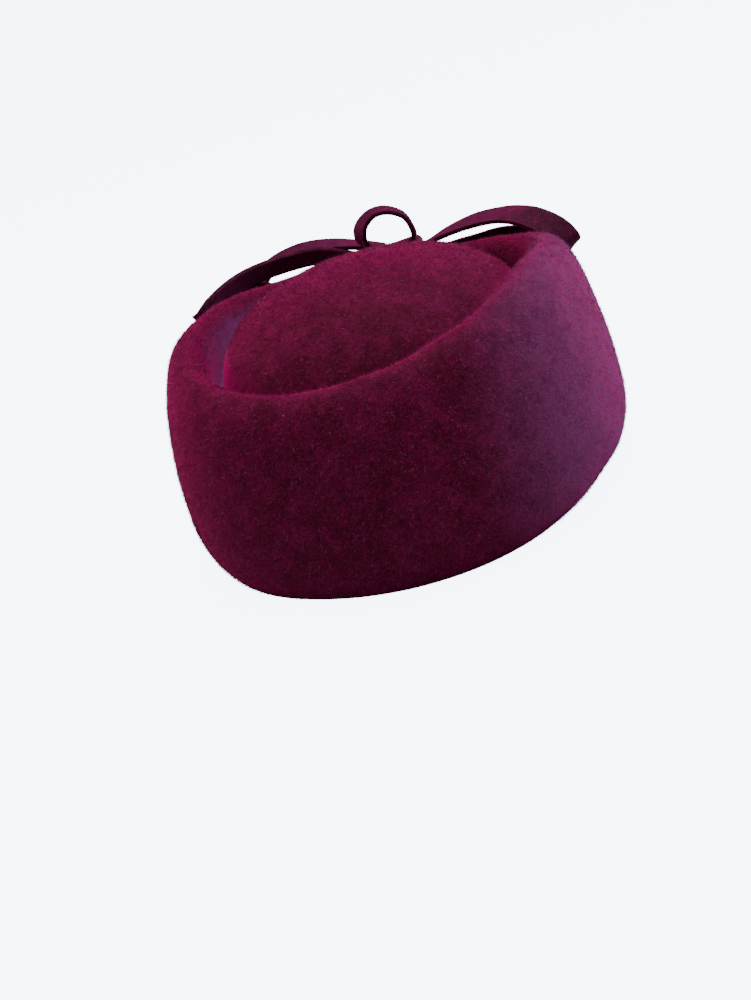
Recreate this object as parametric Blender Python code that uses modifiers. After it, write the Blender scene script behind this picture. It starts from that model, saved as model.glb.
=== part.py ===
# Pillbox hat of blocked velour felt with a looped felt trim at the back.
# Metres, +Z up, front towards -Y. The origin is in the rim's plane, under the middle of hat and trim.
from collections import namedtuple
from math import cos, pi, radians, sin

import bmesh
import bpy
from mathutils import Matrix, Vector

# Felt body, sizes of the finished outer surface
HAT_WIDTH = 0.168
HAT_LENGTH = 0.184
PLAN_POWER = 2.16
FELT_THICKNESS = 0.0025
BULGE_HEIGHT = 0.0231
BULGE_FLARE_RIGHT = 0.0024
RIM_TUCK_FRONT = 0.0062
RIM_TUCK_RIGHT = 0.0137
RIM_TUCK_BACK = 0.0062
RIM_TUCK_LEFT = 0.0089
RIDGE_HEIGHT_FRONT = 0.0755
RIDGE_HEIGHT_RIGHT = 0.0891
RIDGE_HEIGHT_BACK = 0.0800
RIDGE_HEIGHT_LEFT = 0.0896
CREST_INSET = 0.0140
CREST_INSET_LEFT = 0.0154
GROOVE_INSET = 0.0238
GROOVE_INSET_RIGHT = 0.0275
GROOVE_INSET_LEFT = 0.0282
GROOVE_DEPTH = 0.0230
GROOVE_DEPTH_LEFT = 0.0180
GROOVE_EASE_LEFT = 0.43
GROOVE_SKEW = 25
DOME_HEIGHT = 0.1005
CENTRE_LEFT = 0.0010
CENTRE_FRONT = 0.0012

# Felt trim
STRIP_WIDTH = 0.0120
STRIP_THICKNESS = 0.0018
KNOT_TURN = 190
KNOT_INSET = 0.0055
KNOT_LENGTH = 0.025
KNOT_DEPTH = 0.014
KNOT_HEIGHT = 0.0200
KNOT_RISE = 0.0038
KNOT_TILT = 6
RIGHT_LOOP_REACH = 54
RIGHT_LOOP_RISE = 0.0072
LEFT_LONG_LOOP_REACH = 67
LEFT_LONG_LOOP_RISE = 0.0060
LEFT_SHORT_LOOP_REACH = 39.5
LEFT_SHORT_LOOP_RISE = 0.0084
CENTRE_LOOP_REACH = 10
CENTRE_LOOP_RISE = 0.0182
SEAT_GAP = 0.0003

# Fineness of the meshes
CAGE_COLUMNS = 24
STEPS_PER_BEND = 3

# One row for each ring of the body's cage, from the hem up and in to the groove. tuck is a share of
# the rim's tuck, low of the bulge's height, flare of the bulge's flare, high of the wall from bulge to
# ridge, crest of the ridge's inset, lip of the way from ridge to groove, ease of that way's shortening on
# the left, where the groove's wall slopes, and fall of the groove's depth.
Ring = namedtuple("Ring", "tuck low flare high crest lip ease fall")
CUFF_RINGS = [
    Ring(tuck=1.50, low=-0.15, flare=0.30, high=0.00, crest=0.00, lip=0.00, ease=0.00, fall=0.00),
    Ring(tuck=0.98, low=0.18, flare=0.60, high=0.00, crest=0.00, lip=0.00, ease=0.00, fall=0.00),
    Ring(tuck=0.45, low=0.42, flare=0.85, high=0.00, crest=0.00, lip=0.00, ease=0.00, fall=0.00),
    Ring(tuck=0.06, low=0.75, flare=1.00, high=0.00, crest=0.00, lip=0.00, ease=0.00, fall=0.00),
    Ring(tuck=0.00, low=1.00, flare=1.05, high=0.10, crest=0.00, lip=0.00, ease=0.00, fall=0.00),
    Ring(tuck=0.00, low=1.00, flare=0.55, high=0.38, crest=0.03, lip=0.00, ease=0.00, fall=0.00),
    Ring(tuck=0.00, low=1.00, flare=0.10, high=0.70, crest=0.25, lip=0.00, ease=0.00, fall=0.00),
    Ring(tuck=0.00, low=1.00, flare=0.00, high=0.95, crest=0.59, lip=0.00, ease=0.00, fall=0.00),
    Ring(tuck=0.00, low=1.00, flare=0.00, high=1.02, crest=1.00, lip=0.04, ease=0.00, fall=0.00),
    Ring(tuck=0.00, low=1.00, flare=0.00, high=1.00, crest=1.00, lip=0.62, ease=0.73, fall=0.00),
    Ring(tuck=0.00, low=1.00, flare=0.00, high=1.00, crest=1.00, lip=0.86, ease=1.00, fall=0.24),
    Ring(tuck=0.00, low=1.00, flare=0.00, high=1.00, crest=1.00, lip=0.88, ease=0.58, fall=0.80),
    Ring(tuck=0.00, low=1.00, flare=0.00, high=1.00, crest=1.00, lip=1.02, ease=0.07, fall=1.09),
]

# The dome's rings: reach is a share of the groove's radius, rise of the height from groove to top.
DomeRing = namedtuple("DomeRing", "reach rise")
DOME_RINGS = [
    DomeRing(reach=0.965, rise=0.20),
    DomeRing(reach=0.900, rise=0.44),
    DomeRing(reach=0.740, rise=0.69),
    DomeRing(reach=0.470, rise=0.90),
    DomeRing(reach=0.180, rise=0.99),
]

# One row for each bend of a strip. turn is a share of the loop's reach about the hat from the knot,
# inset of the ridge's inset from the hat's plan, rise of the loop's rise above the ridge and width of
# the strip's width. face is the lean of the strip's width from upright towards the back, in degrees,
# and swing its turn about the vertical.
Bend = namedtuple("Bend", "turn inset rise width face swing")
RIGHT_LOOP_BENDS = [
    Bend(turn=0.06, inset=0.57, rise=0.13, width=0.60, face=92, swing=0),
    Bend(turn=0.17, inset=0.57, rise=0.25, width=0.70, face=91, swing=0),
    Bend(turn=0.30, inset=0.55, rise=0.69, width=0.90, face=82, swing=0),
    Bend(turn=0.46, inset=0.51, rise=1.01, width=1.00, face=76, swing=0),
    Bend(turn=0.63, inset=0.46, rise=1.05, width=1.00, face=76, swing=0),
    Bend(turn=0.75, inset=0.43, rise=0.88, width=1.00, face=74, swing=0),
    Bend(turn=0.86, inset=0.32, rise=0.48, width=1.00, face=70, swing=0),
    Bend(turn=0.96, inset=0.09, rise=-0.20, width=1.00, face=68, swing=0),
    Bend(turn=1.01, inset=-0.06, rise=-0.91, width=1.00, face=70, swing=0),
    Bend(turn=0.97, inset=-0.14, rise=-1.40, width=1.00, face=58, swing=0),
    Bend(turn=0.89, inset=-0.12, rise=-1.44, width=1.00, face=34, swing=0),
    Bend(turn=0.74, inset=-0.01, rise=-0.92, width=1.00, face=10, swing=0),
    Bend(turn=0.59, inset=0.04, rise=-0.64, width=1.00, face=0, swing=0),
    Bend(turn=0.44, inset=0.04, rise=-0.76, width=1.00, face=-4, swing=0),
    Bend(turn=0.28, inset=0.04, rise=-0.91, width=1.00, face=-8, swing=0),
    Bend(turn=0.06, inset=0.11, rise=-1.09, width=0.80, face=-15, swing=0),
]
LEFT_LONG_LOOP_BENDS = [
    Bend(turn=0.06, inset=0.59, rise=-0.18, width=0.60, face=-60, swing=0),
    Bend(turn=0.13, inset=0.61, rise=-0.05, width=0.70, face=-56, swing=0),
    Bend(turn=0.21, inset=0.66, rise=0.47, width=0.85, face=-52, swing=0),
    Bend(turn=0.34, inset=0.66, rise=1.01, width=1.00, face=-48, swing=0),
    Bend(turn=0.49, inset=0.63, rise=1.01, width=1.00, face=-45, swing=0),
    Bend(turn=0.64, inset=0.59, rise=0.82, width=1.00, face=-43, swing=0),
    Bend(turn=0.76, inset=0.55, rise=0.55, width=1.00, face=-40, swing=0),
    Bend(turn=0.87, inset=0.43, rise=0.09, width=1.00, face=-38, swing=0),
    Bend(turn=0.96, inset=0.29, rise=-0.55, width=1.00, face=-30, swing=0),
    Bend(turn=1.01, inset=0.18, rise=-1.11, width=0.80, face=-14, swing=0),
    Bend(turn=1.01, inset=0.05, rise=-1.29, width=0.66, face=-4, swing=0),
    Bend(turn=0.97, inset=-0.03, rise=-1.29, width=0.70, face=-2, swing=0),
    Bend(turn=0.87, inset=-0.04, rise=-1.19, width=0.92, face=-10, swing=0),
    Bend(turn=0.75, inset=0.05, rise=-0.83, width=1.00, face=-15, swing=0),
    Bend(turn=0.63, inset=0.14, rise=-0.94, width=1.00, face=-16, swing=0),
    Bend(turn=0.51, inset=0.20, rise=-1.68, width=1.00, face=-17, swing=0),
    Bend(turn=0.36, inset=0.20, rise=-1.71, width=1.00, face=-15, swing=0),
    Bend(turn=0.21, inset=0.19, rise=-1.58, width=1.00, face=-15, swing=0),
    Bend(turn=0.04, inset=0.19, rise=-1.56, width=0.80, face=-15, swing=0),
]
LEFT_SHORT_LOOP_BENDS = [
    Bend(turn=0.10, inset=-0.07, rise=0.23, width=0.60, face=80, swing=0),
    Bend(turn=0.25, inset=-0.18, rise=0.56, width=0.75, face=80, swing=0),
    Bend(turn=0.43, inset=-0.14, rise=0.90, width=0.95, face=78, swing=0),
    Bend(turn=0.61, inset=-0.09, rise=1.02, width=1.00, face=76, swing=0),
    Bend(turn=0.78, inset=-0.16, rise=0.81, width=1.00, face=76, swing=0),
    Bend(turn=0.94, inset=-0.24, rise=0.31, width=1.00, face=78, swing=0),
    Bend(turn=0.99, inset=-0.28, rise=-0.24, width=1.00, face=85, swing=0),
    Bend(turn=0.91, inset=-0.27, rise=-0.55, width=1.00, face=90, swing=0),
    Bend(turn=0.71, inset=-0.24, rise=-0.49, width=1.00, face=90, swing=0),
    Bend(turn=0.46, inset=-0.21, rise=-0.28, width=0.90, face=90, swing=0),
    Bend(turn=0.25, inset=-0.18, rise=-0.17, width=0.75, face=90, swing=0),
    Bend(turn=0.10, inset=-0.07, rise=-0.20, width=0.60, face=90, swing=0),
]
CENTRE_LOOP_BENDS = [
    Bend(turn=0.52, inset=0.49, rise=0.02, width=0.60, face=90, swing=12),
    Bend(turn=0.72, inset=0.50, rise=0.21, width=0.66, face=90, swing=16),
    Bend(turn=0.91, inset=0.59, rise=0.50, width=0.80, face=90, swing=26),
    Bend(turn=0.80, inset=0.60, rise=0.81, width=0.90, face=89, swing=25),
    Bend(turn=0.42, inset=0.57, rise=1.04, width=1.00, face=87, swing=18),
    Bend(turn=-0.04, inset=0.57, rise=1.06, width=1.00, face=87, swing=15),
    Bend(turn=-0.48, inset=0.57, rise=0.87, width=0.90, face=89, swing=15),
    Bend(turn=-0.66, inset=0.59, rise=0.54, width=0.80, face=90, swing=14),
    Bend(turn=-0.62, inset=0.56, rise=0.26, width=0.72, face=90, swing=5),
    Bend(turn=-0.44, inset=0.54, rise=0.03, width=0.65, face=90, swing=-3),
]


def clearScene():
    for oldObject in list(bpy.data.objects):
        bpy.data.objects.remove(oldObject, do_unlink=True)


def makeCollection(name):
    collection = bpy.data.collections.new(name)
    bpy.context.scene.collection.children.link(collection)
    return collection


def makeMaterial(name, color):
    material = bpy.data.materials.new(name)
    material.use_nodes = True
    shader = material.node_tree.nodes["Principled BSDF"]
    shader.inputs["Base Color"].default_value = (*color, 1)
    shader.inputs["Roughness"].default_value = 0.95
    shader.inputs["Metallic"].default_value = 0
    return material


def planRadius(turn):
    # Oval plan of the hat's widest outline; turn is in radians, 0 at the front and growing to +X.
    across = abs(sin(turn) / (HAT_WIDTH / 2)) ** PLAN_POWER
    along = abs(cos(turn) / (HAT_LENGTH / 2)) ** PLAN_POWER
    return (across + along) ** (-1 / PLAN_POWER)


def around(front, right, back, left, turn):
    # A size that changes smoothly about the hat between its four quarters.
    side = left + (right - left) * (1 + sin(turn)) / 2
    end = front if cos(turn) > 0 else back
    return side + (end - side) * cos(turn) ** 2


def ridgeHeight(turn):
    return around(RIDGE_HEIGHT_FRONT, RIDGE_HEIGHT_RIGHT, RIDGE_HEIGHT_BACK, RIDGE_HEIGHT_LEFT, turn)


def rimTuck(turn):
    return around(RIM_TUCK_FRONT, RIM_TUCK_RIGHT, RIM_TUCK_BACK, RIM_TUCK_LEFT, turn)


def crestInset(turn):
    return around(CREST_INSET, CREST_INSET, CREST_INSET, CREST_INSET_LEFT, turn)


def grooveInset(turn):
    # The groove's wider left part lies a little to the back.
    skewed = turn + radians(GROOVE_SKEW)
    return around(GROOVE_INSET, GROOVE_INSET_RIGHT, GROOVE_INSET, GROOVE_INSET_LEFT, skewed)


def grooveEase(turn):
    return around(0, 0, 0, GROOVE_EASE_LEFT, turn + radians(GROOVE_SKEW))


def grooveDepth(turn):
    return around(GROOVE_DEPTH, GROOVE_DEPTH, GROOVE_DEPTH, GROOVE_DEPTH_LEFT, turn)


def pointAt(turn, radius, height):
    return Vector((radius * sin(turn), -radius * cos(turn), height))


def cuffPoint(ring, turn):
    inset = rimTuck(turn) * ring.tuck + crestInset(turn) * ring.crest
    way = ring.lip - grooveEase(turn) * ring.ease
    inset += (grooveInset(turn) - crestInset(turn)) * way
    inset -= around(0, BULGE_FLARE_RIGHT, 0, 0, turn) * ring.flare
    height = BULGE_HEIGHT * ring.low + (ridgeHeight(turn) - BULGE_HEIGHT) * ring.high
    return pointAt(turn, planRadius(turn) - inset, height - grooveDepth(turn) * ring.fall)


def domePoint(ring, turn):
    floor = ridgeHeight(turn) - grooveDepth(turn)
    radius = (planRadius(turn) - grooveInset(turn)) * ring.reach
    return pointAt(turn, radius, floor + (DOME_HEIGHT - floor) * ring.rise)


def bodyMesh(name, closed):
    # The cage stands outside the smooth surface, which pulls in between its columns.
    columnAngle = 2 * pi / CAGE_COLUMNS
    swell = 1 / (0.75 + 0.25 * cos(columnAngle))
    bm = bmesh.new()
    turns = [column * columnAngle for column in range(CAGE_COLUMNS)]
    rows = [[cuffPoint(ring, turn) for turn in turns] for ring in CUFF_RINGS]
    rows += [[domePoint(ring, turn) for turn in turns] for ring in DOME_RINGS]
    rings = [[bm.verts.new((p.x * swell, p.y * swell, p.z)) for p in row] for row in rows]
    for lower, upper in zip(rings, rings[1:]):
        for column in range(CAGE_COLUMNS):
            after = (column + 1) % CAGE_COLUMNS
            bm.faces.new((lower[column], lower[after], upper[after], upper[column]))
    top = bm.verts.new((0, 0, DOME_HEIGHT))
    for column in range(CAGE_COLUMNS):
        bm.faces.new((rings[-1][column], rings[-1][(column + 1) % CAGE_COLUMNS], top))
    if closed:
        bm.faces.new(list(reversed(rings[0])))
    return finishMesh(bm, name)


def finishMesh(bm, name):
    mesh = bpy.data.meshes.new(name)
    bm.to_mesh(mesh)
    bm.free()
    mesh.shade_smooth()
    return mesh


def makeCentre(collection):
    # The middle of the hat's oval, a little off the origin, which everything hangs from.
    centre = bpy.data.objects.new("hat_centre", None)
    centre.location = (-CENTRE_LEFT, -CENTRE_FRONT, 0)
    collection.objects.link(centre)


def addObject(name, mesh, collection, material=None):
    newObject = bpy.data.objects.new(name, mesh)
    newObject.parent = bpy.data.objects["hat_centre"]
    collection.objects.link(newObject)
    if material:
        mesh.materials.append(material)
    return newObject


def markCutter(cutter):
    cutter.hide_render = True
    cutter.display_type = "WIRE"


def smoothCage(target):
    smooth = target.modifiers.new("Smooth form", "SUBSURF")
    smooth.levels = 1
    smooth.render_levels = 1


def cutWith(target, cutter):
    cut = target.modifiers.new("Cut by " + cutter.name, "BOOLEAN")
    cut.operation = "DIFFERENCE"
    cut.solver = "EXACT"
    cut.object = cutter


def makeFloorCutter(collection):
    bm = bmesh.new()
    bmesh.ops.create_cube(bm, size=1)
    size = Vector((HAT_WIDTH * 1.5, HAT_LENGTH * 1.5, BULGE_HEIGHT))
    bmesh.ops.scale(bm, vec=size, verts=bm.verts)
    bmesh.ops.translate(bm, vec=(0, 0, -BULGE_HEIGHT / 2), verts=bm.verts)
    cutter = addObject("floor_cutter", finishMesh(bm, "floor_cutter"), collection)
    markCutter(cutter)
    return cutter


def makeBody(parts, cutters, material):
    body = addObject("felt_body", bodyMesh("felt_body", closed=False), parts, material)
    smoothCage(body)
    wall = body.modifiers.new("Felt wall", "SOLIDIFY")
    wall.thickness = FELT_THICKNESS
    wall.offset = -1
    wall.use_even_offset = True
    cutWith(body, makeFloorCutter(cutters))
    return body


def makeSeatCutter(cutters):
    # The whole hat as one block, grown by the seat gap, for what sits on it.
    seat = addObject("seat_cutter", bodyMesh("seat_cutter", closed=True), cutters)
    smoothCage(seat)
    grow = seat.modifiers.new("Seat gap", "DISPLACE")
    grow.strength = SEAT_GAP
    grow.mid_level = 0
    markCutter(seat)
    return seat


def knotBlock(name, collection, grow, material=None):
    # A soft block across the ridge, flat side to the hat's centre.
    bm = bmesh.new()
    bmesh.ops.create_cube(bm, size=1)
    size = Vector((KNOT_LENGTH, KNOT_DEPTH, KNOT_HEIGHT)) + Vector((grow, grow, grow)) * 2
    bmesh.ops.scale(bm, vec=size, verts=bm.verts)
    block = addObject(name, finishMesh(bm, name), collection, material)
    turn = radians(KNOT_TURN)
    height = ridgeHeight(turn) + KNOT_RISE - KNOT_HEIGHT / 2
    place = Matrix.Translation(pointAt(turn, planRadius(turn) - KNOT_INSET, height))
    tilt = Matrix.Rotation(radians(KNOT_TILT), 4, "Y")
    block.matrix_basis = place @ Matrix.Rotation(turn, 4, "Z") @ tilt
    soften = block.modifiers.new("Soft edges", "BEVEL")
    soften.width = STRIP_THICKNESS * 1.5 + grow
    soften.segments = 3
    return block


def bendPoint(bend, reach, rise):
    turn = radians(KNOT_TURN + reach * bend.turn)
    radius = planRadius(turn) - CREST_INSET * bend.inset
    return pointAt(turn, radius, ridgeHeight(turn) + rise * bend.rise)


def widthDirection(bend, reach):
    turn = radians(KNOT_TURN + reach * bend.turn)
    outward = pointAt(turn + radians(bend.swing), 1, 0)
    face = radians(bend.face)
    direction = Vector((0, 0, cos(face))) + outward * sin(face)
    return direction * STRIP_WIDTH * bend.width


def smoothRow(values):
    # Catmull-Rom steps through the rows, so a few bends give a smooth strip.
    steps = []
    last = len(values) - 1
    for index in range(last):
        before = values[max(index - 1, 0)]
        start, end = values[index], values[index + 1]
        after = values[min(index + 2, last)]
        for step in range(STEPS_PER_BEND):
            t = step / STEPS_PER_BEND
            steps.append(0.5 * (2 * start + (end - before) * t
                                + (2 * before - 5 * start + 4 * end - after) * t * t
                                + (3 * start - before - 3 * end + after) * t ** 3))
    return steps + [values[-1]]


def makeStrip(name, bends, reach, rise, parts, material, knot):
    centres = smoothRow([bendPoint(bend, reach, rise) for bend in bends])
    widths = smoothRow([widthDirection(bend, reach) for bend in bends])
    last = len(centres) - 1
    bm = bmesh.new()
    sections = []
    for index, (centre, width) in enumerate(zip(centres, widths)):
        along = (centres[min(index + 1, last)] - centres[max(index - 1, 0)]).normalized()
        square = (width - along * width.dot(along)).normalized()
        across = square * width.length / 2
        through = along.cross(across).normalized() * STRIP_THICKNESS / 2
        corners = (across + through, across - through, -across - through, -across + through)
        sections.append([bm.verts.new(centre + corner) for corner in corners])
    for first, second in zip(sections, sections[1:]):
        for side in range(4):
            after = (side + 1) % 4
            bm.faces.new((first[side], second[side], second[after], first[after]))
    bm.faces.new(sections[0])
    bm.faces.new(list(reversed(sections[-1])))
    mesh = finishMesh(bm, name)
    mesh.set_sharp_from_angle(angle=radians(50))
    strip = addObject(name, mesh, parts, material)
    cutWith(strip, knot)


def buildHat():
    clearScene()
    parts = makeCollection("pillbox_hat")
    cutters = makeCollection("cutters")
    makeCentre(parts)
    feltMaterial = makeMaterial("burgundy_felt", (0.150, 0.008, 0.045))
    trimMaterial = makeMaterial("plum_trim_felt", (0.085, 0.010, 0.040))
    makeBody(parts, cutters, feltMaterial)
    seat = makeSeatCutter(cutters)
    knot = knotBlock("trim_knot", parts, 0, trimMaterial)
    cutWith(knot, seat)
    knotCutter = knotBlock("knot_cutter", cutters, SEAT_GAP)
    markCutter(knotCutter)
    loops = [
        ("right_loop", RIGHT_LOOP_BENDS, -RIGHT_LOOP_REACH, RIGHT_LOOP_RISE),
        ("left_long_loop", LEFT_LONG_LOOP_BENDS, LEFT_LONG_LOOP_REACH, LEFT_LONG_LOOP_RISE),
        ("left_short_loop", LEFT_SHORT_LOOP_BENDS, LEFT_SHORT_LOOP_REACH, LEFT_SHORT_LOOP_RISE),
        ("centre_loop", CENTRE_LOOP_BENDS, CENTRE_LOOP_REACH, CENTRE_LOOP_RISE),
    ]
    for name, bends, reach, rise in loops:
        makeStrip(name, bends, reach, rise, parts, trimMaterial, knotCutter)


buildHat()
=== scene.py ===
# Pillbox hat of burgundy velour felt with a looped felt trim, on a pale floor.
# Metres, +Z up, front towards -Y. A turn about the hat is 0 at the front and grows towards +X.
from math import cos, pi, radians, sin

import bpy
import numpy as np
from mathutils import Matrix, Vector


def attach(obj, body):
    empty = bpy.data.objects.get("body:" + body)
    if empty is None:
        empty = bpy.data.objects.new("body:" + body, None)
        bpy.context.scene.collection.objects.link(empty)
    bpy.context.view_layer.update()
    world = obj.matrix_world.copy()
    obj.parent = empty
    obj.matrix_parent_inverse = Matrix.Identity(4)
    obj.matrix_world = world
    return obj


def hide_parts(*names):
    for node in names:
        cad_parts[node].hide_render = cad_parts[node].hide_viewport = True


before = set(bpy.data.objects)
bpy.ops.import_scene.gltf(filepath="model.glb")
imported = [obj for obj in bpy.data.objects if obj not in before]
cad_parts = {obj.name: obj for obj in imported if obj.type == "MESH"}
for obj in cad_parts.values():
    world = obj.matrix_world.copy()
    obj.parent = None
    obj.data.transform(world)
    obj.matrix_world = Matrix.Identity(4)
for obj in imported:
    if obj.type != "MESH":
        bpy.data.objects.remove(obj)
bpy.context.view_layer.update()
random = np.random.default_rng(11)

# Camera

photoCamera = {
    "turn": 22.414,        # degrees from the front towards +X
    "rise": 17.165,        # degrees above the rim's plane
    "roll": 15.565,        # degrees, turns the picture of the hat counterclockwise
    "distance": 0.507691,  # metres to the aim
    "aim": (-0.0010, -0.0012, 0.0485),
    "focalPixels": 1308.942,
    "aimPixel": (390.068, 386.239),
    "imageSize": (751, 1000),
    "sensor": 36,          # millimetres
    "clipStart": 0.01,
}


def makeCamera(name, values):
    turn, rise, roll = (radians(values[key]) for key in ("turn", "rise", "roll"))
    back = Vector((sin(turn) * cos(rise), -cos(turn) * cos(rise), sin(rise)))
    right = Vector((0, 0, 1)).cross(back).normalized()
    up = back.cross(right)
    look = Matrix((right, up, back))
    spin = Matrix(((cos(roll), -sin(roll), 0), (sin(roll), cos(roll), 0), (0, 0, 1)))
    width, height = values["imageSize"]
    across, down = values["aimPixel"]
    towards = Vector((across - width / 2, height / 2 - down, -values["focalPixels"])).normalized()
    align = Vector((0, 0, -1)).rotation_difference(towards).to_matrix()
    toWorld = (align @ spin @ look).transposed()
    data = bpy.data.cameras.new(name)
    data.sensor_width = values["sensor"]
    data.lens = values["focalPixels"] * values["sensor"] / max(width, height)
    data.clip_start = values["clipStart"]
    camera = bpy.data.objects.new(name, data)
    bpy.context.scene.collection.objects.link(camera)
    place = Vector(values["aim"]) + back * values["distance"]
    camera.matrix_world = Matrix.Translation(place) @ toWorld.to_4x4()
    bpy.context.scene.camera = camera


makeCamera("photo_camera", photoCamera)
print("camera ready")


# Node helpers

class NodeTree:
    # Short calls that add a node, set its sockets and link what is a socket already.
    def __init__(self, tree):
        self.tree = tree

    def add(self, kind, settings=None, **inputs):
        node = self.tree.nodes.new(kind)
        for key, value in (settings or {}).items():
            setattr(node, key, value)
        for key, value in inputs.items():
            self.put(node, key.replace("_", " "), value)
        return node

    def put(self, node, key, value):
        byNumber = key[0] == "i" and key[1:].isdigit()
        socket = node.inputs[int(key[1:]) if byNumber else key]
        if isinstance(value, bpy.types.NodeSocket):
            self.tree.links.new(value, socket)
        elif isinstance(socket.default_value, float):
            socket.default_value = value
        else:
            value = tuple(value)
            socket.default_value = value if len(socket.default_value) == len(value) else (*value, 1)

    def math(self, operation, first, second):
        node = self.add("ShaderNodeMath", {"operation": operation})
        for index, value in enumerate((first, second)):
            self.put(node, "i%d" % index, value)
        return node.outputs[0]

    def remap(self, value, low, high, newLow=0.0, newHigh=1.0):
        node = self.add("ShaderNodeMapRange", {"interpolation_type": "SMOOTHSTEP"}, Value=value,
                        From_Min=low, From_Max=high, To_Min=newLow, To_Max=newHigh)
        return node.outputs[0]

    def noise(self, vector, scale, detail=2.0, roughness=0.5, distortion=0.0):
        node = self.add("ShaderNodeTexNoise", None, Vector=vector, Scale=scale, Detail=detail,
                        Roughness=roughness, Distortion=distortion)
        return node.outputs["Fac"]

    def mix(self, factor, first, second):
        node = self.add("ShaderNodeMix", {"data_type": "RGBA"})
        self.put(node, "i0", factor)
        self.put(node, "i6", first)
        self.put(node, "i7", second)
        return node.outputs[2]


# Shared felt effects

def startGroup(name, inputs, outputs):
    tree = bpy.data.node_groups.new(name, "ShaderNodeTree")
    for key, kind, value in inputs:
        socket = tree.interface.new_socket(name=key, in_out="INPUT", socket_type=kind)
        if value is not None:
            socket.default_value = value
    for key, kind in outputs:
        tree.interface.new_socket(name=key, in_out="OUTPUT", socket_type=kind)
    nodes = NodeTree(tree)
    return tree, nodes, nodes.add("NodeGroupInput").outputs, nodes.add("NodeGroupOutput")


def buildNapGroup():
    # Brushed felt nap: broad clouds, clumps a few millimetres wide and a fine grain.
    tree, nodes, given, result = startGroup("felt_nap", [
        ("Vector", "NodeSocketVector", None),
        ("Cloud Scale", "NodeSocketFloat", 45.0),
        ("Clump Scale", "NodeSocketFloat", 260.0),
        ("Grain Scale", "NodeSocketFloat", 1500.0),
        ("Cloud Share", "NodeSocketFloat", 0.4),
        ("Clump Share", "NodeSocketFloat", 0.4),
    ], [("Tone", "NodeSocketFloat"), ("Relief", "NodeSocketFloat")])
    vector = given["Vector"]
    cloud = nodes.noise(vector, given["Cloud Scale"], 3.0, 0.6, 0.4)
    clump = nodes.noise(vector, given["Clump Scale"], 4.0, 0.62, 0.8)
    grain = nodes.noise(vector, given["Grain Scale"], 2.0, 0.6)
    cloudPart = nodes.math("MULTIPLY", nodes.remap(cloud, 0.32, 0.68), given["Cloud Share"])
    clumpPart = nodes.math("MULTIPLY", nodes.remap(clump, 0.30, 0.70), given["Clump Share"])
    left = nodes.math("SUBTRACT", 1.0, nodes.math("ADD", given["Cloud Share"], given["Clump Share"]))
    grainPart = nodes.math("MULTIPLY", nodes.remap(grain, 0.3, 0.7), left)
    tone = nodes.math("ADD", nodes.math("ADD", cloudPart, clumpPart), grainPart)
    relief = nodes.math("ADD", nodes.math("MULTIPLY", clump, 0.6), nodes.math("MULTIPLY", grain, 0.4))
    nodes.put(result, "Tone", tone)
    nodes.put(result, "Relief", relief)
    return tree


def buildGrooveGroup():
    # The groove's mask, split into the left and the right by the place across the hat, for the painted
    # sheen on the left and the painted shade on the right.
    tree, nodes, given, result = startGroup("groove_sides", [
        ("Groove", "NodeSocketFloat", 0.0),
        ("Across", "NodeSocketFloat", 0.0),
        ("Start", "NodeSocketFloat", 0.01),
        ("End", "NodeSocketFloat", 0.05),
    ], [("Left", "NodeSocketFloat"), ("Right", "NodeSocketFloat")])
    away = nodes.math("MULTIPLY", given["Across"], -1.0)
    left = nodes.remap(away, given["Start"], given["End"])
    right = nodes.remap(given["Across"], given["Start"], given["End"])
    nodes.put(result, "Left", nodes.math("MULTIPLY", left, given["Groove"]))
    nodes.put(result, "Right", nodes.math("MULTIPLY", right, given["Groove"]))
    return tree


napGroup = buildNapGroup()
grooveGroup = buildGrooveGroup()

bodyFelt = {
    "deep": (0.032, 0.0009, 0.0062),
    "middle": (0.068, 0.0014, 0.0145),
    "light": (0.135, 0.0036, 0.0400),
    "cool": (0.058, 0.0036, 0.0360),        # clumps that lie the other way
    "coolShare": 0.40,
    "crest": (0.150, 0.0012, 0.0400),       # painted highlight along the ridge's lip
    # painted bluish sheen in the groove on the left
    "leftGroove": (0.105, 0.0320, 0.1250),
    "rightSheen": (0.158, 0.0410, 0.1420),     # painted pale lavender sheen on the right, where the right window's light grazes the felt
    "rightSheenShare": 0.65,
    "rightSheenRange": (0.046, 0.092),         # metres from the middle towards the right
    # painted shade in the groove on the right, behind the dome's right flank
    "rightGroove": (0.014, 0.0026, 0.0060),
    "crestHighlightShare": 0.35,
    "grooveShare": 0.9,
    "grooveRange": (0.010, 0.050),          # metres from the middle towards either side
    "cloudScale": 110.0,
    "clumpScale": 620.0,
    "coolScale": 496.0,
    "grainScale": 2000.0,
    "cloudShare": 0.32,
    "clumpShare": 0.38,
    "roughness": 0.72,
    "specular": 0.045,
    "sheen": 0.60,
    "sheenRoughness": 0.42,
    "sheenTint": (1.0, 0.006, 0.28),
    "bump": 0.6,
    "bumpDistance": 0.0005,
}
trimFelt = dict(bodyFelt, deep=(0.018, 0.0010, 0.0066), middle=(0.044, 0.0018, 0.0160),
                light=(0.100, 0.0040, 0.0380), cool=(0.028, 0.0034, 0.0190), crest=(0.080, 0.005, 0.036),
                rightSheenShare=0.0, sheen=0.40, sheenTint=(0.95, 0.03, 0.36), specular=0.06)


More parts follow.
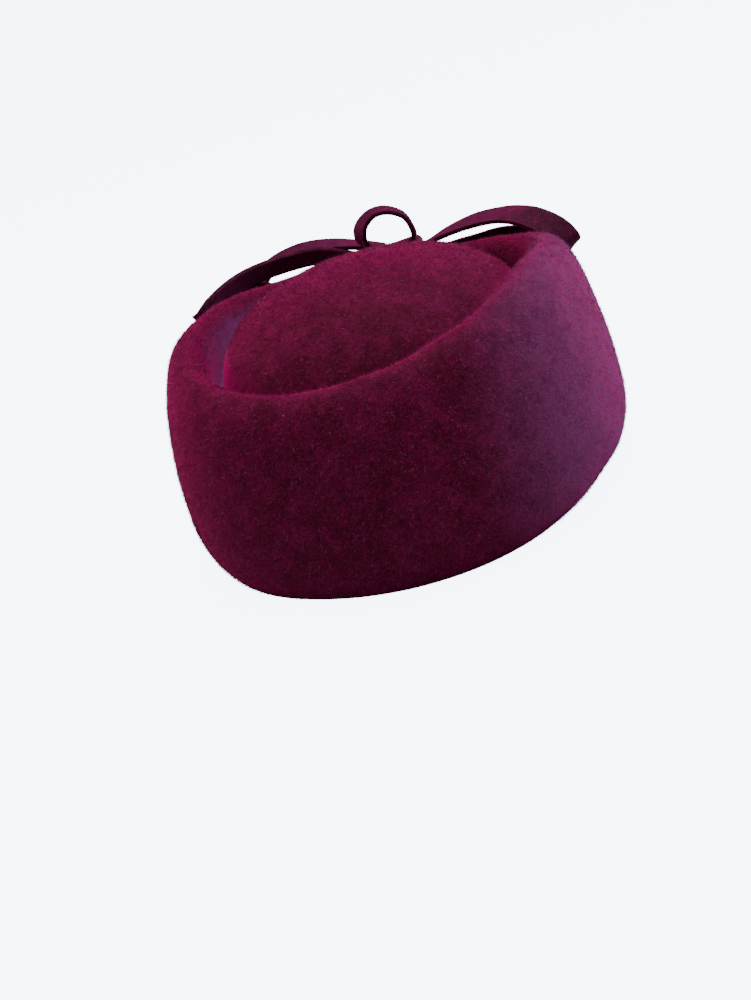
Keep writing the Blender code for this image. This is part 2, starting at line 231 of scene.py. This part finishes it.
def makeFelt(name, values):
    material = bpy.data.materials.new(name)
    material.use_nodes = True
    nodes = NodeTree(material.node_tree)
    nodes.tree.nodes.clear()
    place = nodes.add("ShaderNodeTexCoord").outputs["Object"]
    nap = nodes.add("ShaderNodeGroup", {"node_tree": napGroup}, Vector=place,
                    Cloud_Scale=values["cloudScale"], Clump_Scale=values["clumpScale"],
                    Grain_Scale=values["grainScale"], Cloud_Share=values["cloudShare"],
                    Clump_Share=values["clumpShare"])
    across = nodes.add("ShaderNodeSeparateXYZ", None, Vector=place).outputs[0]
    groove = nodes.add("ShaderNodeAttribute", {"attribute_name": "groove"}).outputs["Fac"]
    lip = nodes.add("ShaderNodeAttribute", {"attribute_name": "lip"}).outputs["Fac"]
    start, end = values["grooveRange"]
    sides = nodes.add("ShaderNodeGroup", {"node_tree": grooveGroup}, Groove=groove, Across=across,
                      Start=start, End=end)
    tone = nap.outputs["Tone"]
    low = nodes.mix(nodes.remap(tone, 0.15, 0.5), values["deep"], values["middle"])
    color = nodes.mix(nodes.remap(tone, 0.5, 0.85), low, values["light"])
    hue = nodes.remap(nodes.noise(place, values["coolScale"], 3.0, 0.6, 1.0), 0.45, 0.65)
    color = nodes.mix(nodes.math("MULTIPLY", hue, values["coolShare"]), color, values["cool"])
    # Painted highlight along the ridge's lip.
    color = nodes.mix(nodes.math("MULTIPLY", lip, values["crestHighlightShare"]), color, values["crest"])
    # Painted sheen: paler lavender towards the right, where the right window's light grazes the felt.
    rightSheen = nodes.remap(across, *values["rightSheenRange"])
    rightSheen = nodes.math("MULTIPLY", rightSheen, values["rightSheenShare"])
    rightSheen = nodes.math("MULTIPLY", rightSheen, nodes.remap(tone, 0.1, 0.6, 0.55, 1.0))
    color = nodes.mix(rightSheen, color, values["rightSheen"])
    # Painted sheen in the groove on the left and painted shade in the groove on the right.
    for side in ("left", "right"):
        share = nodes.math("MULTIPLY", sides.outputs[side.capitalize()], values["grooveShare"])
        share = nodes.math("MULTIPLY", share, nodes.remap(tone, 0.25, 0.75, 1.0, 0.6))
        color = nodes.mix(share, color, values[side + "Groove"])
    bump = nodes.add("ShaderNodeBump", None, Strength=values["bump"], Distance=values["bumpDistance"],
                     Height=nap.outputs["Relief"])
    shader = nodes.add("ShaderNodeBsdfPrincipled", None, Base_Color=color, Roughness=values["roughness"],
                       Sheen_Weight=values["sheen"], Sheen_Roughness=values["sheenRoughness"],
                       Sheen_Tint=values["sheenTint"], Normal=bump.outputs[0])
    shader.inputs["Specular IOR Level"].default_value = values["specular"]
    out = nodes.add("ShaderNodeOutputMaterial")
    nodes.tree.links.new(shader.outputs[0], out.inputs[0])
    return material


def makeFibre(name, color, rightSheenShare=1.0):
    # A plain fibre whose colour turns to a painted sheen towards the right.
    material = bpy.data.materials.new(name)
    material.use_nodes = True
    nodes = NodeTree(material.node_tree)
    nodes.tree.nodes.clear()
    place = nodes.add("ShaderNodeTexCoord").outputs["Object"]
    across = nodes.add("ShaderNodeSeparateXYZ", None, Vector=place).outputs[0]
    share = nodes.math("MULTIPLY", nodes.remap(across, *bodyFelt["rightSheenRange"]), rightSheenShare)
    mixed = nodes.mix(share, color, napShape["rightSheen"])
    shader = nodes.add("ShaderNodeBsdfPrincipled", None, Base_Color=mixed,
                       Roughness=napShape["roughness"])
    shader.inputs["Specular IOR Level"].default_value = napShape["specular"]
    out = nodes.add("ShaderNodeOutputMaterial")
    nodes.tree.links.new(shader.outputs[0], out.inputs[0])
    return material


# The body's form, from the same sizes as the solid

bodyShape = {
    "centre": (-0.0010, -0.0012, 0.0),
    "width": 0.168,
    "length": 0.184,
    "planPower": 2.16,
    "thickness": 0.0025,
    "bulgeHeight": 0.0231,
    "bulgeFlare": (0, 0.0024, 0, 0),                    # front, right, back, left, as all fours below
    "rimTuck": (0.0062, 0.0137, 0.0062, 0.0089),
    "ridgeHeight": (0.0755, 0.0891, 0.0800, 0.0896),
    "crestInset": (0.0140, 0.0140, 0.0140, 0.0154),
    "grooveInset": (0.0238, 0.0275, 0.0238, 0.0282),
    "grooveDepth": (0.0230, 0.0230, 0.0230, 0.0180),
    "grooveEase": (0, 0, 0, 0.43),
    "grooveSkew": 25,                   # degrees that the groove's quarters are turned by
    "domeHeight": 0.1005,
    "columns": 300,
    "stepsPerRing": 8,
    "innerStepsPerRing": 2,
    "cutHeights": (0.0007, 0.0006),     # where the outer and the inner felt turn into the cut edge
    "topGaps": (0.12, 0.35),            # rings left open below the outer and the inner top
    "waviness": 0.00022,
    "waveLength": 0.045,
    "waveCount": 14,
    "waveFade": 0.012,                  # height above the hem where the waves are full
}
# tuck, low, flare, high, crest, lip, ease, fall: the shares that place one ring of the cuff
cuffRings = np.array([
    (1.50, -0.15, 0.30, 0.00, 0.00, 0.00, 0.00, 0.00), (0.98, 0.18, 0.60, 0.00, 0.00, 0.00, 0.00, 0.00),
    (0.45, 0.42, 0.85, 0.00, 0.00, 0.00, 0.00, 0.00), (0.06, 0.75, 1.00, 0.00, 0.00, 0.00, 0.00, 0.00),
    (0.00, 1.00, 1.05, 0.10, 0.00, 0.00, 0.00, 0.00), (0.00, 1.00, 0.55, 0.38, 0.03, 0.00, 0.00, 0.00),
    (0.00, 1.00, 0.10, 0.70, 0.25, 0.00, 0.00, 0.00), (0.00, 1.00, 0.00, 0.95, 0.59, 0.00, 0.00, 0.00),
    (0.00, 1.00, 0.00, 1.02, 1.00, 0.04, 0.00, 0.00), (0.00, 1.00, 0.00, 1.00, 1.00, 0.62, 0.73, 0.00),
    (0.00, 1.00, 0.00, 1.00, 1.00, 0.86, 1.00, 0.24), (0.00, 1.00, 0.00, 1.00, 1.00, 0.88, 0.58, 0.80),
    (0.00, 1.00, 0.00, 1.00, 1.00, 1.02, 0.07, 1.09),
])
# reach and rise of one ring of the dome
domeRings = np.array([(0.965, 0.20), (0.900, 0.44), (0.740, 0.69), (0.470, 0.90), (0.180, 0.99)])
lastRing = len(cuffRings) + len(domeRings)


def planRadius(turn):
    # How far the widest line of the cuff lies from the middle, a little squarer than an oval.
    power = bodyShape["planPower"]
    across = np.abs(np.sin(turn) / (bodyShape["width"] / 2)) ** power
    along = np.abs(np.cos(turn) / (bodyShape["length"] / 2)) ** power
    return (across + along) ** (-1 / power)


def around(sizes, turn):
    # Four sizes, at the front, right, back and left, eased into each other.
    front, right, back, left = sizes
    side = left + (right - left) * (1 + np.sin(turn)) / 2
    end = np.where(np.cos(turn) > 0, front, back)
    return side + (end - side) * np.cos(turn) ** 2


def ringRow(ring, turn):
    # Signed radius and height of a ring of the form; past the top the rings run down the far side.
    shape = bodyShape
    if ring > lastRing:
        radius, height = ringRow(2 * lastRing - ring, turn + pi)
        return -radius, height
    if ring < 0:
        first, second = ringRow(0, turn), ringRow(1, turn)
        return 2 * first[0] - second[0], 2 * first[1] - second[1]
    ridge = around(shape["ridgeHeight"], turn)
    skewed = turn + radians(shape["grooveSkew"])
    groove = around(shape["grooveInset"], skewed)
    depth = around(shape["grooveDepth"], turn)
    if ring < len(cuffRings):
        tuck, low, flare, high, crest, lip, ease, fall = cuffRings[ring]
        crestInset = around(shape["crestInset"], turn)
        inset = around(shape["rimTuck"], turn) * tuck + crestInset * crest
        way = lip - around(shape["grooveEase"], skewed) * ease
        inset = inset + (groove - crestInset) * way - around(shape["bulgeFlare"], turn) * flare
        height = shape["bulgeHeight"] * low + (ridge - shape["bulgeHeight"]) * high
        return planRadius(turn) - inset, height - depth * fall
    if ring == lastRing:
        return turn * 0, turn * 0 + shape["domeHeight"]
    reach, rise = domeRings[ring - len(cuffRings)]
    floor = ridge - depth
    return (planRadius(turn) - groove) * reach, floor + (shape["domeHeight"] - floor) * rise


def smoothForm(turn, place):
    # Cubic B-spline through the rings: place 0 is the hem's ring and lastRing the top of the dome.
    turn, place = np.broadcast_arrays(np.asarray(turn, float), np.asarray(place, float))
    start = np.clip(np.floor(place), 0, lastRing - 1).astype(int)
    t = place - start
    weights = ((1 - t) ** 3 / 6, (3 * t ** 3 - 6 * t ** 2 + 4) / 6,
               (-3 * t ** 3 + 3 * t ** 2 + 3 * t + 1) / 6, t ** 3 / 6)
    radius, height = np.zeros(turn.shape), np.zeros(turn.shape)
    for ring in range(-1, lastRing + 2):
        for offset, weight in enumerate(weights):
            here = start + offset - 1 == ring
            if here.any():
                ringRadius, ringHeight = ringRow(ring, turn[here])
                radius[here] += weight[here] * ringRadius
                height[here] += weight[here] * ringHeight
    return np.stack((radius * np.sin(turn), -radius * np.cos(turn), height), -1)


def drawWaves(count, length):
    # Waves of about this length that run in random directions.
    return [(random.normal(size=3) * 2 * pi / length, random.uniform(0, 2 * pi)) for _ in range(count)]


def sumWaves(points, waves):
    total = sum(np.sin(points @ way + phase) for way, phase in waves)
    return total / len(waves) ** 0.5


waveTable = drawWaves(bodyShape["waveCount"], bodyShape["waveLength"])


def formNormal(turn, place):
    step = 1e-3
    along = smoothForm(turn, place + step) - smoothForm(turn, place - step)
    about = smoothForm(turn + step, place) - smoothForm(turn - step, place)
    normal = np.cross(about, along)
    length = np.linalg.norm(normal, axis=-1, keepdims=True)
    return np.where(length > 1e-12, normal / np.maximum(length, 1e-12), (0, 0, 1))


def feltSurface(turn, place, depth=0.0):
    # The form with slow hand-blocked waves, or a face this deep below it.
    points = smoothForm(turn, place)
    normal = formNormal(turn, np.minimum(place, lastRing - 0.02))
    fade = np.clip(points[..., 2] / bodyShape["waveFade"], 0, 1)[..., None]
    waves = sumWaves(points, waveTable)[..., None] * bodyShape["waviness"] * fade
    return points + normal * (waves - depth) + bodyShape["centre"]


def hemPlace(turn, depth, height):
    # Where the felt reaches this height near the hem, found by halving.
    low, high = np.full(turn.shape, 0.0), np.full(turn.shape, 3.0)
    for _ in range(30):
        middle = (low + high) / 2
        above = feltSurface(turn, middle, depth)[..., 2] > height
        low, high = np.where(above, low, middle), np.where(above, middle, high)
    return (low + high) / 2


def meshFrom(name, vertices, faces):
    mesh = bpy.data.meshes.new(name)
    mesh.from_pydata([tuple(vertex) for vertex in vertices], [], faces)
    mesh.shade_smooth()
    mesh.update()
    return mesh


def addPiece(name, mesh, material, replaced=()):
    piece = bpy.data.objects.new(name, mesh)
    bpy.context.scene.collection.objects.link(piece)
    mesh.materials.append(material)
    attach(piece, "root")
    if replaced:
        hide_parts(*replaced)
    return piece


def ringFaces(rowCount, columns):
    faces = []
    for row in range(rowCount - 1):
        for column in range(columns):
            after = (column + 1) % columns
            faces.append((row * columns + column, row * columns + after,
                          (row + 1) * columns + after, (row + 1) * columns + column))
    return faces


# share of the way from the inner to the outer felt, and height, of each row of the cut edge
edgeTable = [(0.12, 0.0001), (0.30, 0.0), (0.70, 0.0), (0.88, 0.00012)]
# Masks that place the painted groove sheen and shade and the painted highlight along the lip.
feltMasks = {
    "rings": {"groove": (9.5, 13.3), "lip": (8.2, 10.4)},   # lowest and highest ring of each mask
    "steepness": 2.4,               # above 1 the middle of a mask is full
    "backRightRise": 0.9,           # rings that the groove's mask, and so the painted shade, starts earlier at the back right
    "rightReach": 0.05,             # metres to the right, and to the back, where that rise is full
    "backReach": 0.02,
}


def makeBody(material):
    # The inner face down from the top, the rounded cut edge, and the outer felt up to the top.
    columns = bodyShape["columns"]
    outerCut, innerCut = bodyShape["cutHeights"]
    outerGap, innerGap = bodyShape["topGaps"]
    turn = np.arange(columns) * 2 * pi / columns
    outerStart = hemPlace(turn, 0.0, outerCut)
    innerStart = hemPlace(turn, bodyShape["thickness"], innerCut)
    innerRows = []
    innerCount = (lastRing - 1) * bodyShape["innerStepsPerRing"]
    for row in range(innerCount, -1, -1):
        place = innerStart + (lastRing - innerGap - innerStart) * row / innerCount
        innerRows.append(feltSurface(turn, place, bodyShape["thickness"]))
    outer, inner = feltSurface(turn, outerStart), innerRows[-1]
    edgeRows = [np.concatenate(((inner + (outer - inner) * share)[:, :2],
                                np.full((columns, 1), height)), axis=1)
                for share, height in edgeTable]
    outerCount = (lastRing - 1) * bodyShape["stepsPerRing"]
    outerPlaces = [outerStart + (lastRing - outerGap - outerStart) * row / outerCount
                   for row in range(outerCount + 1)]
    outerRows = [feltSurface(turn, place) for place in outerPlaces]
    rows = innerRows + edgeRows + outerRows
    vertices = np.concatenate(rows)
    faces = ringFaces(len(rows), columns)
    lastRow = (len(rows) - 1) * columns
    top = feltSurface(np.zeros(1), np.full(1, lastRing - 1e-3))[0]
    innerTop = top - np.array((0, 0, bodyShape["thickness"]))
    vertices = np.concatenate((vertices, (top, innerTop)))
    topIndex = len(vertices) - 2
    for column in range(columns):
        faces.append((lastRow + column, lastRow + (column + 1) % columns, topIndex))
    for column in range(columns):
        faces.append(((column + 1) % columns, column, topIndex + 1))
    mesh = meshFrom("felt_cap", vertices, faces)
    ringPlace = np.zeros(len(vertices))
    firstOuter = (len(innerRows) + len(edgeRows)) * columns
    ringPlace[firstOuter:firstOuter + (outerCount + 1) * columns] = np.concatenate(outerPlaces)
    toRight = np.clip(vertices[:, 0] / feltMasks["rightReach"], 0, 1)
    toBack = np.clip(0.5 + vertices[:, 1] / (2 * feltMasks["backReach"]), 0, 1)
    steepness = feltMasks["steepness"]
    for key, (low, high) in feltMasks["rings"].items():
        if key == "groove":
            low = low - feltMasks["backRightRise"] * toRight * toBack
        middle, half = (low + high) / 2, (high - low) / 2
        mask = np.clip(steepness - steepness * np.abs(ringPlace - middle) / half, 0, 1)
        mesh.attributes.new(key, "FLOAT", "POINT").data.foreach_set("value", mask)
    return addPiece("felt_cap", mesh, material, ["felt_body"])


feltMaterial = makeFelt("burgundy velour felt", bodyFelt)
trimMaterial = makeFelt("plum felt strip", trimFelt)
feltCap = makeBody(feltMaterial)
print("felt body ready:", len(feltCap.data.polygons), "faces")

# The strips' loops

stripShape = {
    "foldInset": 0.0140,
    "width": 0.0120,
    "thickness": 0.0018,
    "knotTurn": 190,       # degrees
    "stepsPerBend": 9,
    "pointsAcross": 7,
    "cornerShare": 0.45,   # of half the thickness
    "sharpAngle": 50,      # degrees
}
# for each loop its reach in degrees, its rise, and turn, inset, rise, width, face and swing of each bend
loopTables = {
    "right_loop": (-54, 0.0072, [
        (0.06, 0.57, 0.13, 0.60, 92, 0), (0.17, 0.57, 0.25, 0.70, 91, 0),
        (0.30, 0.55, 0.69, 0.90, 82, 0), (0.46, 0.51, 1.01, 1.00, 76, 0),
        (0.63, 0.46, 1.05, 1.00, 76, 0), (0.75, 0.43, 0.88, 1.00, 74, 0),
        (0.86, 0.32, 0.48, 1.00, 70, 0), (0.97, 0.09, -0.32, 1.00, 68, 0),
        (1.03, -0.06, -1.20, 1.00, 70, 0), (0.99, -0.14, -1.68, 1.00, 58, 0),
        (0.90, -0.12, -1.60, 1.00, 34, 0), (0.74, -0.01, -0.92, 1.00, 10, 0),
        (0.59, 0.04, -0.64, 1.00, 0, 0), (0.44, 0.04, -0.76, 1.00, -4, 0),
        (0.28, 0.04, -0.91, 1.00, -8, 0), (0.06, 0.11, -1.09, 0.80, -15, 0)]),
    "left_long_loop": (67, 0.0060, [
        (0.06, 0.59, -0.18, 0.60, -60, 0), (0.13, 0.61, -0.05, 0.70, -56, 0),
        (0.21, 0.66, 0.47, 0.85, -52, 0), (0.34, 0.66, 1.01, 1.00, -48, 0),
        (0.49, 0.63, 1.01, 1.00, -45, 0), (0.64, 0.59, 0.82, 1.00, -43, 0),
        (0.76, 0.55, 0.55, 1.00, -40, 0), (0.87, 0.43, 0.09, 1.00, -38, 0),
        (0.96, 0.29, -0.55, 1.00, -30, 0), (1.01, 0.18, -1.11, 0.80, -14, 0),
        (1.01, 0.05, -1.29, 0.66, -4, 0), (0.97, -0.03, -1.29, 0.70, -2, 0),
        (0.87, -0.04, -1.19, 0.92, -10, 0), (0.75, 0.05, -0.83, 1.00, -15, 0),
        (0.63, 0.14, -0.94, 1.00, -16, 0), (0.51, 0.20, -1.68, 1.00, -17, 0),
        (0.36, 0.20, -1.71, 1.00, -15, 0), (0.21, 0.19, -1.58, 1.00, -15, 0),
        (0.04, 0.19, -1.56, 0.80, -15, 0)]),
    "left_short_loop": (39.5, 0.0084, [
        (0.10, -0.07, 0.23, 0.60, 80, 0), (0.25, -0.18, 0.56, 0.75, 80, 0),
        (0.43, -0.14, 0.90, 0.95, 78, 0), (0.61, -0.09, 1.02, 1.00, 76, 0),
        (0.78, -0.16, 0.81, 1.00, 76, 0), (0.94, -0.24, 0.31, 1.00, 78, 0),
        (0.99, -0.28, -0.24, 1.00, 85, 0), (0.91, -0.27, -0.55, 1.00, 90, 0),
        (0.71, -0.24, -0.49, 1.00, 90, 0), (0.46, -0.21, -0.28, 0.90, 90, 0),
        (0.25, -0.18, -0.17, 0.75, 90, 0), (0.10, -0.07, -0.20, 0.60, 90, 0)]),
    "centre_loop": (10, 0.0182, [
        (0.52, 0.49, 0.02, 0.60, 90, 12), (0.72, 0.50, 0.21, 0.66, 90, 16),
        (0.91, 0.59, 0.50, 0.80, 90, 26), (0.80, 0.60, 0.81, 0.90, 89, 25),
        (0.42, 0.57, 1.04, 1.00, 87, 18), (-0.04, 0.57, 1.06, 1.00, 87, 15),
        (-0.48, 0.57, 0.87, 0.90, 89, 15), (-0.66, 0.59, 0.54, 0.80, 90, 14),
        (-0.62, 0.56, 0.26, 0.72, 90, 5), (-0.44, 0.54, 0.03, 0.65, 90, -3)]),
}


def smoothRow(values, steps):
    # A smooth row through every bend, with this many steps between two bends.
    values = np.asarray(values)
    last = len(values) - 1
    result = []
    for index in range(last):
        before, start = values[max(index - 1, 0)], values[index]
        end, after = values[index + 1], values[min(index + 2, last)]
        for step in range(steps):
            t = step / steps
            result.append(0.5 * (2 * start + (end - before) * t
                                 + (2 * before - 5 * start + 4 * end - after) * t * t
                                 + (3 * start - before - 3 * end + after) * t ** 3))
    return np.array(result + [values[-1]])


def makeLoop(name, reach, rise, bends, material):
    centres, widths = [], []
    for share, inset, lift, width, face, swing in bends:
        turn = radians(stripShape["knotTurn"] + reach * share)
        radius = float(planRadius(turn)) - stripShape["foldInset"] * inset
        height = float(around(bodyShape["ridgeHeight"], turn)) + rise * lift
        centres.append((radius * sin(turn), -radius * cos(turn), height))
        outward = turn + radians(swing)
        lean = radians(face)
        scale = stripShape["width"] * width
        widths.append((sin(outward) * sin(lean) * scale, -cos(outward) * sin(lean) * scale,
                       cos(lean) * scale))
    steps = stripShape["stepsPerBend"]
    centres, widths = smoothRow(centres, steps) + bodyShape["centre"], smoothRow(widths, steps)
    count = len(centres)
    half = stripShape["thickness"] / 2
    corner = stripShape["cornerShare"] * half
    outline = []                       # across share, across offset, through offset
    for side in (1, -1):
        for across in np.linspace(-side, side, stripShape["pointsAcross"]):
            outline.append((across, 0 if abs(across) < 1 else -np.sign(across) * corner, side * half))
        outline.append((side, 0.0, 0.0))
    vertices = []
    for index in range(count):
        along = centres[min(index + 1, count - 1)] - centres[max(index - 1, 0)]
        along /= np.linalg.norm(along)
        width = widths[index] - along * np.dot(along, widths[index])
        reachHalf = np.linalg.norm(widths[index]) / 2
        across = width / np.linalg.norm(width)
        through = np.cross(along, across)
        for share, offset, depth in outline:
            vertices.append(centres[index] + across * (reachHalf * share + offset) + through * depth)
    sides = len(outline)
    faces = ringFaces(count, sides)
    faces.append(tuple(range(sides - 1, -1, -1)))
    faces.append(tuple((count - 1) * sides + side for side in range(sides)))
    mesh = meshFrom(name + "_felt", np.array(vertices), faces)
    mesh.set_sharp_from_angle(angle=radians(stripShape["sharpAngle"]))
    return addPiece(name + "_felt", mesh, material, [name])


loops = [makeLoop(name, *table, trimMaterial) for name, table in loopTables.items()]
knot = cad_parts["trim_knot"]
knot.material_slots[0].material = trimMaterial
print("loops ready")

# Nap fibres

napShape = {
    "length": 0.00130,
    "width": 0.00012,
    "lean": 0.86,                      # how far a fibre lies over, 0 upright and 1 flat
    "leanLimit": 0.98,
    "spread": {"turn": 0.7, "lean": 0.22, "face": 0.45, "length": (0.55, 1.25)},
    "rootDepth": 0.0001,
    "bakeScale": 5,                    # for each metre, so that the flat map stays between 0 and 1
    "clumpTurn": 1.3,                  # how much a clump turns its fibres aside
    "clumpLength": 0.009,
    "clumpCount": 24,
    # painted sheen that the fibres turn to towards the right
    "rightSheen": (0.215, 0.0700, 0.2150),
    "roughness": 0.7,
    "specular": 0.03,
}
# name, count, color, length and width shares, lean, and the rings that it grows on
bodyNap = [
    ("nap_deep", 150000, (0.110, 0.0008, 0.024), 1.0, 1.0, napShape["lean"],
     [(0, 9.3), (13.2, lastRing)]),
    ("nap_bright", 150000, (0.205, 0.0200, 0.080), 1.0, 1.0, napShape["lean"],
     [(0, 9.3), (13.2, lastRing)]),
    # fuzz at the hem and along the lip, its brighter colour a painted highlight
    ("edge_fuzz_highlight", 30000, (0.270, 0.0080, 0.080), 1.1, 0.8, 0.35, [(0, 1.2), (8.0, 9.7)]),
    ("pale_lint", 9000, (0.340, 0.1200, 0.250), 1.4, 0.6, 0.75, [(0, lastRing)]),
]
trimNap = {"count": 9000, "color": (0.060, 0.006, 0.030), "lengthShare": 0.6}


def triangleTable(piece):
    mesh = piece.data
    mesh.calc_loop_triangles()
    points = np.empty(len(mesh.vertices) * 3)
    mesh.vertices.foreach_get("co", points)
    normals = np.empty(len(mesh.vertices) * 3)
    mesh.vertex_normals.foreach_get("vector", normals)
    corners = np.empty(len(mesh.loop_triangles) * 3, dtype=np.int32)
    mesh.loop_triangles.foreach_get("vertices", corners)
    return points.reshape(-1, 3), normals.reshape(-1, 3), corners.reshape(-1, 3)


def scatter(piece, count, keep=slice(None)):
    # Spots spread evenly over the kept triangles, each with the way that its felt faces.
    points, normals, corners = triangleTable(piece)
    corners = corners[keep]
    edges = points[corners]
    area = np.linalg.norm(np.cross(edges[:, 1] - edges[:, 0], edges[:, 2] - edges[:, 0]), axis=1)
    chosen = random.choice(len(corners), size=count, p=area / area.sum())
    first, second = random.random(count), random.random(count)
    flip = first + second > 1
    first[flip], second[flip] = 1 - first[flip], 1 - second[flip]
    weights = np.stack((1 - first - second, first, second), 1)[:, :, None]
    spots = (edges[chosen] * weights).sum(axis=1)
    facing = (normals[corners[chosen]] * weights).sum(axis=1)
    return spots, facing / np.linalg.norm(facing, axis=1, keepdims=True)


clumpTable = drawWaves(napShape["clumpCount"], napShape["clumpLength"])


def makeFibres(name, spots, facing, material, lengthShare, widthShare, lean):
    # One triangle for each fibre, combed down and then turned aside in clumps a few millimetres wide.
    count, spread = len(spots), napShape["spread"]
    down = np.array((0.0, 0.0, -1.0)) + random.normal(size=(count, 3)) * 0.001
    comb = down - facing * (facing * down).sum(axis=1, keepdims=True)
    comb /= np.linalg.norm(comb, axis=1, keepdims=True)
    side = np.cross(facing, comb)
    angle = sumWaves(spots, clumpTable) * napShape["clumpTurn"]
    angle = (angle + random.normal(size=count) * spread["turn"])[:, None]
    lay = comb * np.cos(angle) + side * np.sin(angle)
    lean = np.clip(lean + random.normal(size=count) * spread["lean"], 0.0, napShape["leanLimit"])[:, None]
    way = facing * np.sqrt(1 - lean ** 2) + lay * lean
    lengths = (napShape["length"] * lengthShare * random.uniform(*spread["length"], count))[:, None]
    across = np.cross(way, facing + random.normal(size=(count, 3)) * spread["face"])
    across /= np.linalg.norm(across, axis=1, keepdims=True)
    across *= napShape["width"] * widthShare / 2
    root = spots - facing * napShape["rootDepth"]
    vertices = np.stack((root - across, root + across, root + way * lengths), 1).reshape(-1, 3)
    mesh = bpy.data.meshes.new(name)
    mesh.vertices.add(count * 3)
    mesh.vertices.foreach_set("co", vertices.ravel())
    mesh.loops.add(count * 3)
    mesh.loops.foreach_set("vertex_index", np.arange(count * 3, dtype=np.int32))
    mesh.polygons.add(count)
    mesh.polygons.foreach_set("loop_start", np.arange(count, dtype=np.int32) * 3)
    mesh.polygons.foreach_set("loop_total", np.full(count, 3, dtype=np.int32))
    mesh.update(calc_edges=True)
    mesh.shade_smooth()
    flat = mesh.uv_layers.new(name="OFBake")   # from above: the colour changes only across the hat
    flat.data.foreach_set("uv", (0.5 + vertices[:, :2] * napShape["bakeScale"]).ravel())
    return addPiece(name, mesh, material)


def outerTriangles(piece, ranges):
    # Which triangles lie on the outer felt within these rings, from the count of the body's rows.
    columns = bodyShape["columns"]
    firstRow = (lastRing - 1) * bodyShape["innerStepsPerRing"] + 1 + len(edgeTable)
    points, normals, corners = triangleTable(piece)
    place = (corners.min(axis=1) // columns - firstRow) / bodyShape["stepsPerRing"]
    inner = (corners == len(points) - 1).any(axis=1)
    inside = sum((place >= low) & (place <= high) for low, high in ranges) > 0
    return inside & ~inner


for name, count, color, lengthShare, widthShare, lean, rings in bodyNap:
    spots, facing = scatter(feltCap, count, outerTriangles(feltCap, rings))
    makeFibres(name, spots, facing, makeFibre(name.replace("_", " ") + " fibre", color),
               lengthShare, widthShare, lean)
trimFibre = makeFibre("trim fibre", trimNap["color"], 0.0)
for loop in loops:
    spots, facing = scatter(loop, trimNap["count"])
    makeFibres(loop.name + "_nap", spots, facing, trimFibre,
               trimNap["lengthShare"], 1.0, napShape["lean"])
print("nap ready")

# Floor, backdrop and light

studio = {
    "floor": (0.52, 0.52, 0.55),
    "floorRoughness": 0.8,
    "glow": (0.76, 0.85, 1.0),
    "glowStrength": 8.5,    # paleness that only the camera sees
    "world": (0.80, 0.87, 1.0),
    "worldStrength": 0.35,
    # across the floor and up the backdrop, y and z
    "profile": [(-3.0, 0.0), (1.4, 0.0), (1.9, 0.06), (2.3, 0.3), (2.5, 0.8), (2.5, 3.5)],
    "halfWidth": 4,
    "lightAim": (0, 0, 0.04),
    "lights": [  # name, power, size, place, color
        ("top", 29.0, 1.1, (0.12, 0.12, 1.45), (1.0, 0.97, 0.96)),
        ("right window", 18.0, 1.0, (1.05, 1.00, 0.60), (0.72, 0.86, 1.0)),
        ("left window", 4.6, 0.8, (-1.2, 0.30, 0.75), (1.0, 0.76, 0.50)),
        ("front fill", 2.6, 0.8, (-0.10, -1.3, 1.0), (1.0, 0.95, 0.90)),
    ],
}


def makeFloor():
    # A floor that sweeps up into a backdrop, both paler to the camera than to the hat.
    profile, halfWidth = studio["profile"], studio["halfWidth"]
    vertices, faces = [], []
    for y, z in profile:
        vertices += [(-halfWidth, y, z), (halfWidth, y, z)]
    for index in range(len(profile) - 1):
        faces.append((index * 2, index * 2 + 1, index * 2 + 3, index * 2 + 2))
    floor = bpy.data.objects.new("floor", meshFrom("floor", vertices, faces))
    bpy.context.scene.collection.objects.link(floor)
    smooth = floor.modifiers.new("Sweep", "SUBSURF")
    smooth.levels = smooth.render_levels = 3
    material = bpy.data.materials.new("pale floor")
    material.use_nodes = True
    shader = material.node_tree.nodes["Principled BSDF"]
    shader.inputs["Base Color"].default_value = (*studio["floor"], 1)
    shader.inputs["Roughness"].default_value = studio["floorRoughness"]
    nodes = NodeTree(material.node_tree)
    seen = nodes.add("ShaderNodeLightPath").outputs["Is Camera Ray"]
    shader.inputs["Emission Color"].default_value = (*studio["glow"], 1)
    nodes.put(shader, "Emission Strength", nodes.math("MULTIPLY", seen, studio["glowStrength"]))
    floor.data.materials.append(material)


def makeLights():
    # Area lights, and pale air that is brighter to the camera alone.
    for name, power, size, place, color in studio["lights"]:
        data = bpy.data.lights.new(name, "AREA")
        data.energy, data.size, data.color = power, size, color
        light = bpy.data.objects.new(name, data)
        bpy.context.scene.collection.objects.link(light)
        light.location = place
        aim = Vector(studio["lightAim"]) - Vector(place)
        light.rotation_euler = aim.to_track_quat("-Z", "Y").to_euler()
    world = bpy.data.worlds.new("studio air")
    bpy.context.scene.world = world
    world.use_nodes = True
    nodes = NodeTree(world.node_tree)
    background = world.node_tree.nodes["Background"]
    background.inputs["Color"].default_value = (*studio["world"], 1)
    seen = nodes.add("ShaderNodeLightPath").outputs["Is Camera Ray"]
    strength = nodes.remap(seen, 0.0, 1.0, studio["worldStrength"], studio["glowStrength"])
    nodes.put(background, "Strength", strength)


makeFloor()
makeLights()
print("studio ready")
